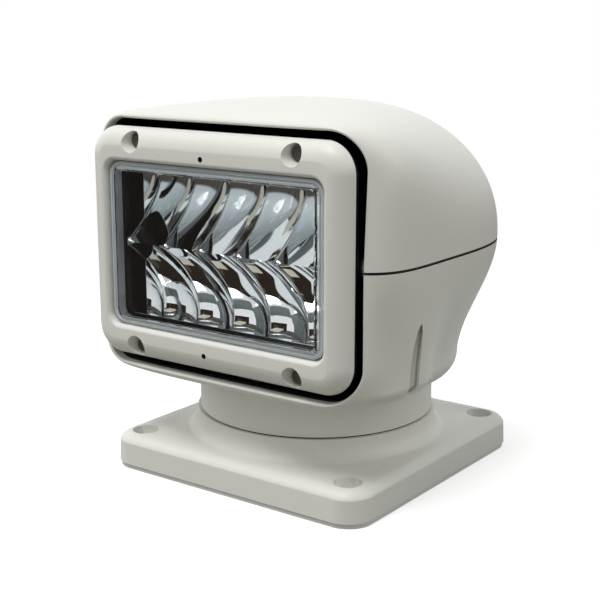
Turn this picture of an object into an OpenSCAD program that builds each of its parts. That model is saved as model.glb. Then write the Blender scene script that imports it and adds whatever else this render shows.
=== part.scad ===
// Remote-control marine searchlight. A head pans on a square foot, and a lamp unit
// with two rows of half-parabola reflectors tilts in the opening at the head's front.
// Millimetres, +Z up, the lamp faces -Y, origin under the foot on the pan axis.

/* [Foot] */
// Side of the square foot at its widest
foot_side = 179; // [175:1:185]
// Height of the foot's flat top above the deck
foot_h = 20.5; // [20:0.5:22]
// Corner radius of the foot seen from above
foot_corner_r = 16; // [14:1:20]
// Distance of a deck screw from the foot's edge
deck_edge = 16; // [15:0.5:17]
// Clearance hole for a deck screw
deck_hole_d = 6.6; // [5.5:0.1:7]
// Counterbore over a deck screw
deck_cbore_d = 16; // [14:0.5:17]
// Thickness of the bottom cover, seen as the foot's lower lip
cover_t = 3; // [2.5:0.5:3]
// How far the fixed collar stands out beyond the neck above it
collar_step = 1.7; // [1.2:0.1:2.5]

/* [Head] */
// Height of the seam between lower housing and upper cover
seam_z = 139; // [138.5:0.5:139.5]
// Width of the head's rim beside the lamp opening
rim_side = 15.6; // [15:0.1:16.5]
// Rise of the head's crown above the lamp opening
crown_rise = 9; // [8.5:0.5:10]
// How far the head reaches behind the pan axis
head_rear = 81.7; // [80:0.1:84]
// Wall of the two head mouldings
wall = 3; // [2.5:0.1:3.2]
// Radius of the round neck
neck_r = 70.3; // [69.8:0.1:70.6]
// Gap between lamp frame and head at the sides
gap_side = 2.4; // [2.2:0.1:3]
// Gap between lamp frame and head above and below
gap_top = 4.5; // [4.2:0.1:5]

/* [Lamp] */
// Width of the window in the lamp frame
window_w = 149; // [140:1:155]
// Height of the window in the lamp frame
window_h = 94; // [90:1:97]
// Width of the lamp frame beside the window
side_band = 13.5; // [12.5:0.5:14.5]
// Height of the lamp frame above and below the window
bar_h = 18.5; // [17.5:0.5:19.5]
// Reflector cells in one row
cells = 5; // [4:1:6]
// Focal length of a reflector cell
focus = 14.2; // [14:0.1:15]

/* [Drive] */
// Teeth on the fixed pan gear
pan_teeth = 68; // [64:4:68]
// Teeth on the pan pinion and on the tilt pinion
pinion_teeth = 16; // [16:2:18]
// Teeth on the full circle of the tilt sector
tilt_teeth = 88; // [88:4:92]
// Flank clearance of a gear tooth
backlash = 0.06; // [0.05:0.01:0.1]

/* [Hidden] */
$fn = 64;
eps = 0.01;
fit = 0.05;

ivory = [0.86, 0.86, 0.82];
rubber = [0.09, 0.09, 0.1];
alloy = [0.62, 0.63, 0.65];
steel = [0.72, 0.72, 0.74];
black = [0.12, 0.12, 0.13];
acetal = [0.9, 0.9, 0.88];
board_green = [0.1, 0.32, 0.18];

// Foot and collar
foot_half = foot_side / 2;
foot_edge_r = 5;
foot_draft = 0.6;
foot_wall = 5;
lip_inset = 1;
collar_z = 33.5;
collar_r = neck_r + collar_step;
flare_r = 11;
neck_wall = 3.8;
neck_in_r = neck_r - neck_wall;
seal_seat = 3.5;
bowl_r = neck_in_r - seal_seat;
bowl_z = 12;
bowl_floor = 5;
bowl_wall = 4;
deck_pitch = foot_side - 2 * deck_edge;
deck_cbore_depth = 8;
deck_boss_r = deck_cbore_d / 2 + 3;
cover_screw_at = foot_half - 12.5;
cover_boss_r = 5;
cover_screw_len = 9;
cover_head_t = 1.2;
cover_sink = 1.4;
cable_r = 4.5;
grommet_r = 12;
grommet_flange_r = 15;
grommet_lip = 1;
grommet_top = cover_t + 1.5;

// Screws
screw_r = 2;
screw_head_r = 3.6;
screw_head_t = 2.5;
thread_bite = 0.4;
screw_gap = 0.1;

// Pan column
post_flange_r = 30;
post_flange_t = 4;
post_shoulder_r = 21;
post_r = 18;
post_bore_r = 13.5;
post_top = 66;
thread_r = 17;
thread_z = 60;
pan_gear_z = bowl_z + post_flange_t;
pan_gear_t = 7;
shoulder_z = 28;
washer_t = 1.5;
washer_r = 25;
lift = 0.1;
hub_z = shoulder_z + washer_t + lift;
hub_top = 58;
hub_r = 28;
bush_r = 20.5;
disc_z = 36;
disc_t = 5;
disc_top = disc_z + disc_t;
nut_t = 5.6;
nut_r = 24;
nut_slot_w = 5;
nut_slot_d = 4;
cap_top = 73;
cap_t = 3;
cap_gap = 1;
post_screw_at = 25.5;

// Slip ring in the column
ring_low = 38;
ring_r = 11;
ring_cup = 56;
ring_flange_t = 1.5;
rotor_r = 4;
rotor_gap = 0.3;
rotor_low = ring_cup + 1;
rotor_cap = 3;
rotor_cap_t = 2;
rotor_bore_r = 2;
rotor_bore_d = 6;

// Gear train
gear_m = 1;
pan_gear_r = pan_teeth * gear_m / 2;
pinion_r = pinion_teeth * gear_m / 2;
pan_axis_y = pan_gear_r + pinion_r;
sector_r = tilt_teeth * gear_m / 2;
shaft_r = 2.5;
shaft_in = 10;
pinion_t = 6;
pinion_lift = 0.5;
pressure = 20;

// Gear motors
gearbox_r = 13.5;
gearbox_len = 20;
motor_r = 12;
motor_len = 50;
tail_r = 4;
tail_len = 3;
shaft_hole = shaft_in + 2;

// Head forms
frame_w = window_w + 2 * side_band;
frame_h = window_h + 2 * bar_h;
open_w = frame_w + 2 * gap_side;
open_h = frame_h + 2 * gap_top;
open_lift = -0.3;
open_z = seam_z + open_lift;
open_r = 20.5;
head_w = open_w / 2 + rim_side;
cover_h = open_h / 2 + crown_rise;
seam_gap = 0.8;
neck_z = collar_z + 0.8;
turn_over = 5.3;
turn_front_z = open_z - open_h / 2 + turn_over;
turn_rear_z = 70.7;
sill_under = 8.7;
sill_z = open_z - open_h / 2 - sill_under;
neck_top_rear = 55.9;
skirt_r = 86.5;
skirt_rear = 80;
skirt_run = 1.034;
rim_bottom = 9;
front_bottom_w = open_w / 2 + rim_bottom;
box_y = 2;
box_run = 40;
front_y = -94.8;
plan_y = -20.75;
box_power = 5.5;
top_power = 20;
rear_power = 3.1;
crown_y = -6.3;
crown_power = 2.41;
crown_bend = 0.0008;
front_power = 5.2;
back_power = 2.04;
power_run = 0.348;
corner_power = 3.8;
corner_run = 0.173;
front_rake = 0.055;
rake_run = 60;
ring_n = 64;
end_step = 0.5;
opening_depth = 32;
pad_r = 6.5;
pad_t = 3.7;
pad_screw_in = 5.5;
pad_screw_at = neck_in_r - pad_screw_in;
well_r = 4.5;
well_top = 112;
well_tip = 3;
well_in = 8;
well_y = -49;
boss_r = 7;
boss_rib_r = 3;
boss_reach = 9;
boss_rise = 18;
rear_well = [0.585 * head_w, 0.72 * head_rear];
wells = [[head_w - well_in, well_y], [well_in - head_w, well_y], rear_well,
    [-rear_well[0], rear_well[1]]];
well_screw_len = 40;
gasket_in = 0.9;

// Control board
board_w = 56;
board_d = 24;
board_t = 1.6;
board_in = 20.5;
board_y = board_in - neck_in_r;
board_lift = 7;
board_post_r = 2.5;
board_post_in = 4;

// Lamp unit, in its own frame: origin on the tilt axis
tilt_y = -70;
lamp_z = seam_z;
frame_r = 17;
frame_front = 30;
bezel_back = 20.2;
bezel_run = 13;
frame_step = 3.5;
window_r = 7;
window_edge = [[1, 1.2], [3.5, 0]];
lens_front = 27;
lens_t = 3;
lens_rim = 4.5;
lens_step = 1.4;
lens_panel_r = 5;
lens_wall = 3;
lens_flange = 5;
lens_flange_t = 3;
lens_gap = 0.6;
lens_back = 18;
gasket_t = 2;
gasket_lip = 2.5;
body_in = 7.5;
body_in_z = 9;
body_w = frame_w - 2 * body_in;
body_h = frame_h - 2 * body_in_z;
body_r = 12;
body_wall = 4;
body_front = lens_back - gasket_t;
body_flange_t = 4;
body_back = -20;
body_mouth = 3.5;
fin_depth = 8;
fin_t = 3;
fins = 13;
fin_margin = 15;
fin_end = 10;
frame_screw_in = 19.5;
frame_screw_x = window_w / 2 - frame_screw_in;
frame_screw_out = 6.2;
frame_screw_z = window_h / 2 + lens_flange + frame_screw_out;
frame_screw_len = 12;
frame_boss_r = 3.6;
frame_boss_back = 4;
scoop_room = 0.7;
scoop_r = screw_head_r + scoop_room;
scoop_flare = 2.7;
scoop_floor = 21.2;
pin_hole_r = 1.4;
pin_hole_x = -4;
pin_hole_over = 4.5;
pin_hole_under = 8.5;
pin_hole_d = 6;
reflector_half_h = window_h / 2 - 5;
reflector_front = 19;
reflector_back = -16;
reflector_skin = 5;
vertex = -13;
cell_rib = 2;
field_in = 9.5;
reflector_end = 1.5;
field_w = window_w - 2 * field_in;
reflector_w = field_w + 2 * reflector_end;
cell_pitch = field_w / cells;
parabola_steps = 9;
cut_over = 4;
cut_top = 50;
led_size = 5;
led_t = 1.2;
led_gap = 0.2;
led_board_t = 1.6;
led_board_d = 22;
led_board_front = 10;
side_boss = 3;
sector_t = 4;
sector_x = body_w / 2 + side_boss;
sector_span = 34;
sector_rim = 4;
sector_hub = 22;
sector_screw_y = 14;
sector_screw_z = 8;
sector_boss_r = 4;
sector_screw_len = 9;
pin_r = 5;
pin_boss_r = 7.4;
bracket_gap = 2.2;
bracket_x = frame_w / 2 + bracket_gap;
bracket_t = 3;
bracket_w = 12;
bracket_rim = 3.5;
bracket_foot = 31;
bracket_pad_r = 4.5;
bracket_screw_len = 8;
bracket_screws_at = [-28, -16];
bush_out_r = 7;
pin_end = bracket_x + bracket_t + 0.5;

// Tilt drive in the head
tilt_pinion_y = tilt_y + sector_r + pinion_r;
tilt_pinion_x = sector_x - 1;
motor_plate_in = 12.5;
motor_plate_x = neck_in_r - motor_plate_in;
motor_plate_t = 4;
motor_plate_w = 28;
motor_foot = 18;
motor_hole_r = 5;

// Shared functions and shapes

function mix(a, b, t) = a + (b - a) * t;
function ease(t) = let (c = min(1, max(0, t))) c * c * (3 - 2 * c);
function root(c, power) = sign(c) * pow(abs(c), 2 / power);

// Quarter ellipse from the side of a profile to its top
function edge_arc(r0, z0, run, rise, steps) =
    [for (i = [0:steps]) [r0 + run * cos(90 * i / steps), z0 + rise * sin(90 * i / steps)]];

// Copies of a shape on a circle
module ring_of(count, radius, turn = 0) {
    for (i = [0:count - 1])
        rotate([0, 0, turn + 360 * i / count])
            translate([radius, 0, 0])
                children();
}

// Copies at the four corners of a rectangle
module corners(x, y) {
    for (sx = [-1, 1], sy = [-1, 1])
        translate([sx * x, sy * y, 0])
            children();
}

// Flat rounded rectangle
module rounded_rect(w, h, r) {
    square([w - 2 * r, h], center = true);
    square([w, h - 2 * r], center = true);
    corners(w / 2 - r, h / 2 - r) circle(r);
}

// Slab whose edge follows a profile: r from the corner centre, then height
module edged_slab(w, h, corner_r, profile) {
    x = w / 2 - corner_r;
    y = h / 2 - corner_r;
    top = max([for (p = profile) p[1]]);
    low = min([for (p = profile) p[1]]);
    translate([-x, -y, low])
        cube([2 * x, 2 * y, top - low]);
    for (s = [0, 180])
        rotate([0, 0, s]) {
            translate([x, y, 0]) rotate([90, 0, 0]) linear_extrude(2 * y) polygon(profile);
            translate([-x, y, 0]) rotate([90, 0, 90]) linear_extrude(2 * x) polygon(profile);
            translate([x, y, 0]) rotate_extrude(angle = 90) polygon(profile);
            translate([-x, y, 0]) rotate([0, 0, 90]) rotate_extrude(angle = 90) polygon(profile);
        }
}

// Screw with a flat round head that sits on the origin, shank down
module screw(len, r = screw_r, head = screw_head_r, head_t = screw_head_t) {
    cylinder(r = head, h = head_t);
    translate([0, 0, -len]) cylinder(r = r, h = len);
}

// Solid through a list of rings, the first one uppermost
module loft(rings) {
    n = len(rings[0]);
    m = len(rings);
    sides = [for (j = [0:m - 2], i = [0:n - 1])
        let (a = j * n + i, b = j * n + (i + 1) % n)
        each [[a, b, b + n], [a, b + n, a + n]]];
    first = [for (i = [n - 1:-1:0]) i];
    last = [for (i = [0:n - 1]) (m - 1) * n + i];
    polyhedron(points = [for (r = rings) each r], faces = concat([first], sides, [last]));
}

// Involute gear outline, a tooth on the +X axis
function inv(a) = tan(a) * 180 / PI - a;
function tooth_half(teeth, r) =
    let (pitch = teeth * gear_m / 2, base = pitch * cos(pressure))
    90 / teeth - backlash / pitch * 180 / PI + inv(pressure) - inv(acos(min(1, base / r)));
function tooth_radii(teeth) =
    let (pitch = teeth * gear_m / 2, base = pitch * cos(pressure), low = pitch - 1.25 * gear_m)
    let (start = max(low, base) + 0.05)
    [low, start, (start + pitch) / 2, pitch, pitch + 0.5 * gear_m, pitch + gear_m];
function tooth_points(teeth, k) =
    let (radii = tooth_radii(teeth), mid = 360 * k / teeth)
    concat(
        [for (r = radii) let (a = mid - tooth_half(teeth, r)) r * [cos(a), sin(a)]],
        [for (i = [len(radii) - 1:-1:0])
            let (r = radii[i], a = mid + tooth_half(teeth, r)) r * [cos(a), sin(a)]]);

module gear_2d(teeth) {
    polygon([for (k = [0:teeth - 1]) each tooth_points(teeth, k)]);
}

// Head forms: the plan outline at the seam and the two lofted bodies

function plan_w(y, inset = 0) =
    let (w = head_w - inset, f = front_y + inset, r = head_rear - inset)
    y < plan_y
        ? w * pow(max(0, 1 - pow((plan_y - y) / (plan_y - f), box_power)), 1 / box_power)
        : w * pow(max(0, 1 - pow((y - plan_y) / (r - plan_y), rear_power)), 1 / rear_power);

// Height of the upper cover over the seam, along the middle
function crown(y, inset = 0) =
    let (h = cover_h - inset, f = front_y + inset, r = head_rear - inset)
    y < crown_y
        ? (h - crown_bend * pow(y - crown_y, 2))
            * pow(max(0, 1 - pow(max(0, plan_y - y) / (plan_y - f), top_power)), 1 / top_power)
        : h * pow(max(0, 1 - pow((y - crown_y) / (r - crown_y), crown_power)), 1 / crown_power);

// Squareness of the cover's cross-section, high at the front
function section_power(y) =
    let (along = (y - front_y) / (head_rear - front_y))
    mix(front_power, back_power, pow(along, power_run)) + corner_power * exp(-along / corner_run);

function cover_ring(y, inset, z0) =
    let (w = plan_w(y, inset), h = crown(y, inset), e = section_power(y))
    [for (i = [0:ring_n / 2])
        let (
            u = 360 * i / ring_n,
            t = mix(u, 90 - 90 * cos(u), min(1, (e - 2) / 4)),
            z = z0 + (h - z0) * root(sin(t), e),
            back = front_rake * z * (1 - ease((y - front_y) / rake_run)))
        [w * root(cos(t), e), y + back, seam_z + z]];

// Stations close together at the front rim and at the rear
function stations(y0, y1, n) = [for (i = [0:n]) mix(y0, y1, 0.5 - 0.5 * cos(180 * i / n))];

// Ring of the lower housing: stage 0 to 1 is the wall, 1 to 2 the turn under, 2 to 3 the neck
function lower_ring(stage, inset = 0, lift_z = 0) =
    let (
        down = min(1, stage),
        turn = 90 * min(1, max(0, stage - 1)),
        drop = max(0, stage - 2),
        curl = 1 - cos(turn),
        z_f = mix(mix(seam_z, turn_front_z, down) - (turn_front_z - sill_z) * sin(turn), neck_z, drop),
        z_r = mix(mix(seam_z, turn_rear_z, down) - (turn_rear_z - neck_top_rear) * sin(turn),
            neck_z, drop),
        taper = ease((z_r - turn_rear_z + 1) / (skirt_run * (seam_z - turn_rear_z))),
        neck = inset > 0 ? neck_in_r : neck_r,
        w = mix(mix(skirt_r, head_w, taper) - inset, neck, curl),
        w_front = mix(mix(front_bottom_w, head_w, taper) - inset, neck, curl),
        y_f = mix(front_y + inset, -neck, curl),
        y_r = mix(mix(skirt_rear, head_rear, taper) - inset, neck, curl),
        y_c = plan_y * taper,
        p_f = mix(box_power, 2, curl),
        p_r = mix(2, rear_power, taper))
    [for (i = [0:ring_n - 1])
        let (
            quarter = floor(i * 4 / ring_n),
            t = 90 * quarter + 45 * (1 - cos(720 * i / ring_n - 180 * quarter)),
            c = cos(t),
            q = sin(t),
            e = q < 0 ? p_f : p_r,
            s = pow(abs(q), 2 / e),
            y = q < 0 ? y_c + (y_f - y_c) * s : y_c + (y_r - y_c) * s,
            x = mix(w, w_front, ease((-y - box_y) / box_run)) * root(c, e),
            z = mix(z_r, z_f, ease((-y - box_y) / box_run)))
        [x, y, z + inset * sin(turn) * (1 - drop) + lift_z]];

// Rounded opening for the lamp, cut along Y through the front
module lamp_opening() {
    translate([0, front_y + opening_depth, open_z])
        rotate([90, 0, 0])
            linear_extrude(2 * opening_depth)
                rounded_rect(open_w, open_h, open_r);
}

// Upright prism of the lamp unit: rounded outline from depth a to depth b in front of the axis
module lamp_prism(w, h, r, a, b) {
    translate([0, -a, 0])
        rotate([90, 0, 0])
            linear_extrude(b - a)
                rounded_rect(w, h, r);
}

// Places lamp parts drawn about the tilt axis
module at_tilt_axis() {
    translate([0, tilt_y, lamp_z]) children();
}

// Foot

module foot_blank() {
    r = foot_corner_r;
    side = concat([[0, cover_t], [r, cover_t]],
        edge_arc(r - foot_draft - foot_edge_r, foot_h - foot_edge_r, foot_edge_r, foot_edge_r, 8),
        [[0, foot_h]]);
    edged_slab(foot_side, foot_side, r, side);
}

module collar_blank() {
    flare = [for (i = [0:8])
        [collar_r + flare_r * (1 - cos(90 - 90 * i / 8)),
            foot_h - 1 + (flare_r + 1) * (1 - sin(90 - 90 * i / 8))]];
    rotate_extrude()
        polygon(concat([[0, foot_h - 1]], flare, [[collar_r, collar_z], [0, collar_z]]));
}

module deck_places() {
    corners(deck_pitch / 2, deck_pitch / 2) children();
}

module cover_places() {
    ring_of(4, cover_screw_at) children();
}

module base_plate() {
    inner = foot_half - foot_wall;
    color(ivory)
        difference() {
            union() {
                foot_blank();
                collar_blank();
            }
            translate([0, 0, bowl_z]) cylinder(r = bowl_r, h = collar_z);
            difference() {
                translate([0, 0, cover_t - eps])
                    linear_extrude(foot_h - foot_wall - cover_t)
                        rounded_rect(2 * inner, 2 * inner, foot_corner_r - foot_wall);
                translate([0, 0, bowl_z - bowl_floor]) cylinder(r = bowl_r + bowl_wall, h = foot_h);
                deck_places() cylinder(r = deck_boss_r, h = foot_h);
                cover_places() cylinder(r = cover_boss_r, h = foot_h);
            }
            deck_places() {
                cylinder(d = deck_hole_d, h = foot_h + 1);
                translate([0, 0, foot_h - deck_cbore_depth]) cylinder(d = deck_cbore_d, h = foot_h);
            }
            cover_places() cylinder(r = screw_r - thread_bite, h = cover_screw_len + cover_t);
            cylinder(r = post_bore_r, h = foot_h);
            translate([0, 0, bowl_z - bowl_floor])
                ring_of(4, post_screw_at, 45) cylinder(r = screw_r + screw_gap, h = foot_h);
        }
}

module base_cover() {
    size = foot_side - 2 * lip_inset;
    color(ivory)
        difference() {
            linear_extrude(cover_t) rounded_rect(size, size, foot_corner_r - lip_inset);
            translate([0, 0, -1]) {
                deck_places() cylinder(d = deck_hole_d, h = cover_t + 2);
                cylinder(r = grommet_r, h = cover_t + 2);
                cylinder(r = grommet_flange_r, h = grommet_lip + 1);
                cover_places() {
                    cylinder(r = screw_r, h = cover_t + 2);
                    cylinder(r = screw_head_r, h = cover_sink + 1);
                }
            }
        }
}

module base_cover_screws() {
    color(steel)
        cover_places()
            translate([0, 0, cover_sink])
                rotate([180, 0, 0])
                    screw(cover_screw_len, screw_r - thread_bite - screw_gap, screw_head_r - screw_gap,
                        cover_head_t);
}

module cable_grommet() {
    color(rubber)
        rotate_extrude()
            polygon([[cable_r, 0], [grommet_flange_r - screw_gap, 0],
                [grommet_flange_r - screw_gap, grommet_lip], [grommet_r - fit, grommet_lip],
                [grommet_r - fit, cover_t], [grommet_flange_r - 1, cover_t],
                [grommet_flange_r - 1, grommet_top], [cable_r, grommet_top]]);
}

// Pan column

module pan_post() {
    color(alloy)
        difference() {
            rotate_extrude()
                polygon([[post_bore_r, bowl_z], [post_flange_r, bowl_z], [post_flange_r, pan_gear_z],
                    [post_shoulder_r, pan_gear_z], [post_shoulder_r, shoulder_z],
                    [post_r, shoulder_z], [post_r, thread_z], [thread_r, thread_z],
                    [thread_r, post_top], [post_bore_r, post_top]]);
            translate([0, 0, bowl_z - 1])
                ring_of(4, post_screw_at, 45) cylinder(r = screw_r + screw_gap, h = post_flange_t + 2);
        }
}

module post_screws() {
    color(steel)
        translate([0, 0, pan_gear_z + pan_gear_t])
            ring_of(4, post_screw_at, 45)
                screw(pan_gear_t + post_flange_t + bowl_floor - 1);
}

module pan_gear() {
    color(acetal)
        translate([0, 0, pan_gear_z])
            linear_extrude(pan_gear_t)
                difference() {
                    gear_2d(pan_teeth);
                    circle(post_shoulder_r + fit);
                    ring_of(4, post_screw_at, 45) circle(screw_r + screw_gap);
                }
}

module thrust_washer() {
    color(acetal)
        translate([0, 0, shoulder_z])
            linear_extrude(washer_t)
                difference() {
                    circle(washer_r);
                    circle(post_r + fit);
                }
}

module post_nut() {
    color(steel)
        translate([0, 0, thread_z])
            linear_extrude(nut_t)
                difference() {
                    circle(nut_r);
                    circle(thread_r + fit);
                    ring_of(4, nut_r) square([nut_slot_d, nut_slot_w], center = true);
                }
}

module slip_ring_body() {
    color(black)
        rotate_extrude()
            polygon([[0, ring_low], [ring_r, ring_low], [ring_r, post_top], [thread_r - 1, post_top],
                [thread_r - 1, post_top + ring_flange_t],
                [rotor_r + rotor_gap, post_top + ring_flange_t],
                [rotor_r + rotor_gap, ring_cup], [0, ring_cup]]);
}

module neck_seal() {
    color(rubber)
        rotate_extrude()
            polygon([[neck_in_r, collar_z], [neck_r - 0.6, collar_z], [neck_r - 1.4, neck_z - 0.2],
                [neck_in_r, neck_z - 0.2]]);
}

// Panning head

module turntable() {
    color(alloy)
        difference() {
            rotate_extrude()
                polygon([[bush_r, hub_z], [hub_r, hub_z], [hub_r, disc_z], [neck_in_r - 0.2, disc_z],
                    [neck_in_r - 0.2, disc_top], [hub_r, disc_top], [hub_r, hub_top],
                    [bush_r, hub_top]]);
            translate([0, pan_axis_y, disc_z - 1]) cylinder(r = pinion_r + 2, h = disc_t + 2);
            translate([0, 0, disc_z - 1])
                ring_of(4, pad_screw_at, 45) cylinder(r = screw_r + screw_gap, h = disc_t + 2);
        }
}

module pan_bush() {
    color(acetal)
        translate([0, 0, hub_z])
            linear_extrude(hub_top - hub_z)
                difference() {
                    circle(bush_r);
                    circle(post_r + fit);
                }
}

module turntable_screws() {
    color(steel)
        translate([0, 0, disc_top + pad_t])
            ring_of(4, pad_screw_at, 45) screw(pad_t + disc_t - 1);
}

module lower_outside() {
    loft(concat(
        [lower_ring(0, 0, -seam_gap / 2)],
        [for (s = [0.12:0.11:1]) lower_ring(s)],
        [for (s = [1:1 / 7:2.01]) lower_ring(min(2, s))],
        [lower_ring(3)]));
}

module lower_inside() {
    loft(concat(
        [lower_ring(0, wall, 1)],
        [for (s = [0.12:0.11:1]) lower_ring(s, wall)],
        [for (s = [1:1 / 7:2.01]) lower_ring(min(2, s), wall)],
        [lower_ring(3, wall, -1)]));
}

// Screw pads inside the neck that sit on the turntable
module neck_pads() {
    translate([0, 0, disc_top])
        ring_of(4, pad_screw_at, 45)
            difference() {
                cylinder(r = pad_r, h = pad_t, $fn = 32);
                translate([0, 0, -1]) cylinder(r = screw_r + 0.2, h = pad_t + 2, $fn = 32);
            }
}

// Screw boss joined to the nearest wall by a rib
module cover_boss(place, z0, z1) {
    out = place / norm(place) * boss_reach;
    hull() {
        translate([place[0], place[1], z0]) cylinder(r = boss_r, h = z1 - z0, $fn = 32);
        translate([place[0] + out[0], place[1] + out[1], z0])
            cylinder(r = boss_rib_r, h = z1 - z0, $fn = 32);
    }
}

module lower_bosses() {
    for (p = wells)
        cover_boss(p, sill_z, seam_z - seam_gap / 2);
    for (side = [-1, 1], z = bracket_screws_at)
        translate([side * (bracket_x + bracket_t + fit), tilt_y, lamp_z + z])
            rotate([0, side * 90, 0]) cylinder(r = bracket_pad_r, h = 2 * rim_side, $fn = 32);
}

// Screw well with a pointed top, open below
module screw_well(place) {
    hull() {
        translate([place[0], place[1], collar_z])
            cylinder(r = well_r, h = well_top - collar_z, $fn = 48);
        translate([place[0], place[1], well_top])
            cylinder(r = well_r / 4, h = well_tip, $fn = 48);
    }
    translate([place[0], place[1], well_top])
        cylinder(r = screw_r + screw_gap, h = well_screw_len, $fn = 32);
}

module lower_housing() {
    color(ivory)
        difference() {
            lower_outside();
            difference() {
                lower_inside();
                neck_pads();
                lower_bosses();
            }
            for (p = wells)
                screw_well(p);
            for (side = [-1, 1], z = bracket_screws_at)
                translate([side * bracket_x, tilt_y, lamp_z + z])
                    rotate([0, side * 90, 0])
                        cylinder(r = screw_r - thread_bite + screw_gap, h = bracket_screw_len + 0.5,
                            $fn = 32);
            lamp_opening();
        }
}

module seam_outline(inset) {
    ys = stations(front_y + inset + end_step, head_rear - inset - end_step, 40);
    right = [for (y = ys) [plan_w(y, inset), y]];
    left = [for (i = [len(ys) - 1:-1:0]) [-plan_w(ys[i], inset), ys[i]]];
    polygon(concat(right, left));
}

module housing_gasket() {
    color(rubber)
        translate([0, 0, seam_z - seam_gap / 2])
            linear_extrude(seam_gap)
                difference() {
                    seam_outline(gasket_in);
                    seam_outline(wall - screw_gap);
                    translate([0, front_y]) square([open_w, 2 * opening_depth], center = true);
                }
}

module cover_body(inset, y0, y1, z0) {
    loft([for (y = stations(y0, y1, 30)) cover_ring(y, inset, z0)]);
}

module cover_bosses() {
    for (p = wells)
        cover_boss(p, seam_z + seam_gap / 2, seam_z + boss_rise);
}

module upper_cover() {
    color(ivory)
        difference() {
            cover_body(0, front_y + end_step, head_rear - end_step, seam_gap / 2);
            difference() {
                cover_body(wall, front_y + wall + end_step, head_rear - wall - end_step, 0);
                cover_bosses();
            }
            for (p = wells)
                translate([p[0], p[1], seam_z - 1])
                    cylinder(r = screw_r - thread_bite + screw_gap,
                        h = well_top + well_screw_len - seam_z, $fn = 32);
            lamp_opening();
        }
}

module cover_screws() {
    color(steel)
        for (p = wells)
            translate([p[0], p[1], well_top - well_tip])
                rotate([180, 0, 0]) screw(well_screw_len, screw_r - thread_bite);
}

// Gear motor with its shaft end at the origin, body along +Z
module gear_motor() {
    difference() {
        union() {
            cylinder(r = gearbox_r, h = gearbox_len);
            cylinder(r = motor_r, h = motor_len);
            cylinder(r = tail_r, h = motor_len + tail_len);
        }
        translate([0, 0, -1]) cylinder(r = shaft_r + fit, h = shaft_hole + 1);
    }
}

module pan_motor() {
    color(steel)
        translate([0, pan_axis_y, disc_top])
            gear_motor();
}

module post_cap() {
    color(alloy)
        rotate_extrude()
            polygon([[nut_r + cap_gap, hub_top], [hub_r, hub_top], [hub_r, cap_top],
                [rotor_r + fit, cap_top], [rotor_r + fit, cap_top - cap_t],
                [nut_r + cap_gap, cap_top - cap_t]]);
}

module slip_ring_rotor() {
    color(black)
        rotate_extrude()
            polygon([[0, rotor_low], [rotor_r, rotor_low], [rotor_r, cap_top],
                [rotor_r + rotor_cap, cap_top], [rotor_r + rotor_cap, cap_top + rotor_cap_t],
                [rotor_bore_r, cap_top + rotor_cap_t], [rotor_bore_r, cap_top - rotor_bore_d],
                [0, cap_top - rotor_bore_d]]);
}

// Control board in the front half of the neck

module board_posts() {
    color(steel)
        translate([0, board_y, disc_top])
            corners(board_w / 2 - board_post_in, board_d / 2 - board_post_in)
                cylinder(r = board_post_r, h = board_lift, $fn = 32);
}

// A part on the board: place and size along X and Y, then height
module chip(x, y, w, d, h) {
    translate([x - w / 2, y - d / 2, board_t]) cube([w, d, h]);
}

module control_board() {
    color(board_green)
        translate([0, board_y, disc_top + board_lift]) {
            translate([-board_w / 2, -board_d / 2, 0]) cube([board_w, board_d, board_t]);
            chip(x = -2, y = 0, w = 12, d = 12, h = 1.4);
            chip(x = 15, y = -1, w = 10, d = 14, h = 7);
            chip(x = -22, y = 0, w = 8, d = 14, h = 6);
            translate([-13, 6, board_t]) cylinder(r = 3, h = 8, $fn = 32);
        }
}

// Tilt drive

module motor_bracket() {
    color(alloy)
        difference() {
            union() {
                translate([motor_plate_x, -motor_plate_w / 2, disc_top])
                    cube([motor_plate_t, motor_plate_w, lamp_z - disc_top + gearbox_r]);
                translate([motor_plate_x, tilt_pinion_y, lamp_z])
                    rotate([0, 90, 0]) cylinder(r = gearbox_r + 1.5, h = motor_plate_t);
                translate([motor_plate_x - motor_foot, -motor_plate_w / 2, disc_top])
                    cube([motor_foot + 1, motor_plate_w, motor_plate_t]);
            }
            translate([motor_plate_x - 1, tilt_pinion_y, lamp_z])
                rotate([0, 90, 0]) cylinder(r = motor_hole_r, h = motor_plate_t + 2);
        }
}

module tilt_motor() {
    color(steel)
        translate([motor_plate_x, tilt_pinion_y, lamp_z])
            rotate([0, -90, 0])
                gear_motor();
}

module tilt_brackets() {
    color(alloy)
        for (side = [-1, 1])
            translate([side * bracket_x, tilt_y, lamp_z])
                rotate([0, side * 90, 0])
                    linear_extrude(bracket_t)
                        difference() {
                            union() {
                                circle(bush_out_r + bracket_rim);
                                translate([side * bracket_foot / 2, 0])
                                    square([bracket_foot + 6, bracket_w], center = true);
                            }
                            circle(bush_out_r);
                            for (z = bracket_screws_at)
                                translate([-side * z, 0]) circle(screw_r);
                        }
}

module bracket_screws() {
    color(steel)
        for (side = [-1, 1], z = bracket_screws_at)
            translate([side * bracket_x, tilt_y, lamp_z + z])
                rotate([0, -side * 90, 0])
                    screw(bracket_screw_len, screw_r - thread_bite, screw_head_r - 0.2, 1.8);
}

module tilt_bushes() {
    color(acetal)
        for (side = [-1, 1])
            translate([side * bracket_x, tilt_y, lamp_z])
                rotate([0, side * 90, 0])
                    linear_extrude(bracket_t)
                        difference() {
                            circle(bush_out_r);
                            circle(pin_r + fit);
                        }
}

module pan_pinion() {
    color(steel)
        translate([0, pan_axis_y, 0])
            rotate([0, 0, -90 + 180 / pinion_teeth]) {
                translate([0, 0, pan_gear_z + pinion_lift]) {
                    linear_extrude(pinion_t) gear_2d(pinion_teeth);
                    cylinder(r = shaft_r, h = disc_top - pan_gear_z - pinion_lift + shaft_in);
                }
            }
}

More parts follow.
